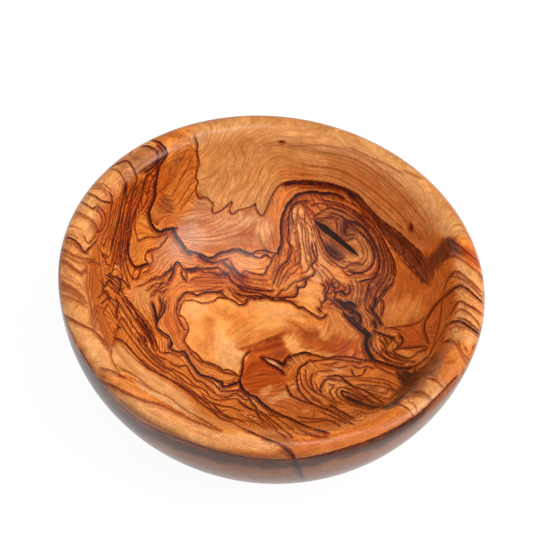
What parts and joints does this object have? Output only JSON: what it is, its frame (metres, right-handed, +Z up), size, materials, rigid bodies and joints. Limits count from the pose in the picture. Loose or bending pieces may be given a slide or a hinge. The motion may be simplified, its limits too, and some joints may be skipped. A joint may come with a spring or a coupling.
{
  "type": "turned wooden dish",
  "caption": "Round turned olive-wood dish with a thick rounded lip, a deep smooth hollow, a flat base to stand on and a dark filled check across a knot in its inner wall.",
  "frame": {"origin": "centre of the flat base, on the table", "axes": "+Z up along the turning axis; -Y towards the viewer of the picture, with the knot in the wall on the +Y side, a little to +X"},
  "size_m": [0.14, 0.14, 0.055],
  "materials": {
    "olive_wood": "sanded smooth and oiled, satin",
    "dark_filler": "sanded flush with the wood, satin"
  },
  "bodies": {
    "root": {"bowl": "olive_wood", "knot_fill": "dark_filler"}
  },
  "joints": []
}
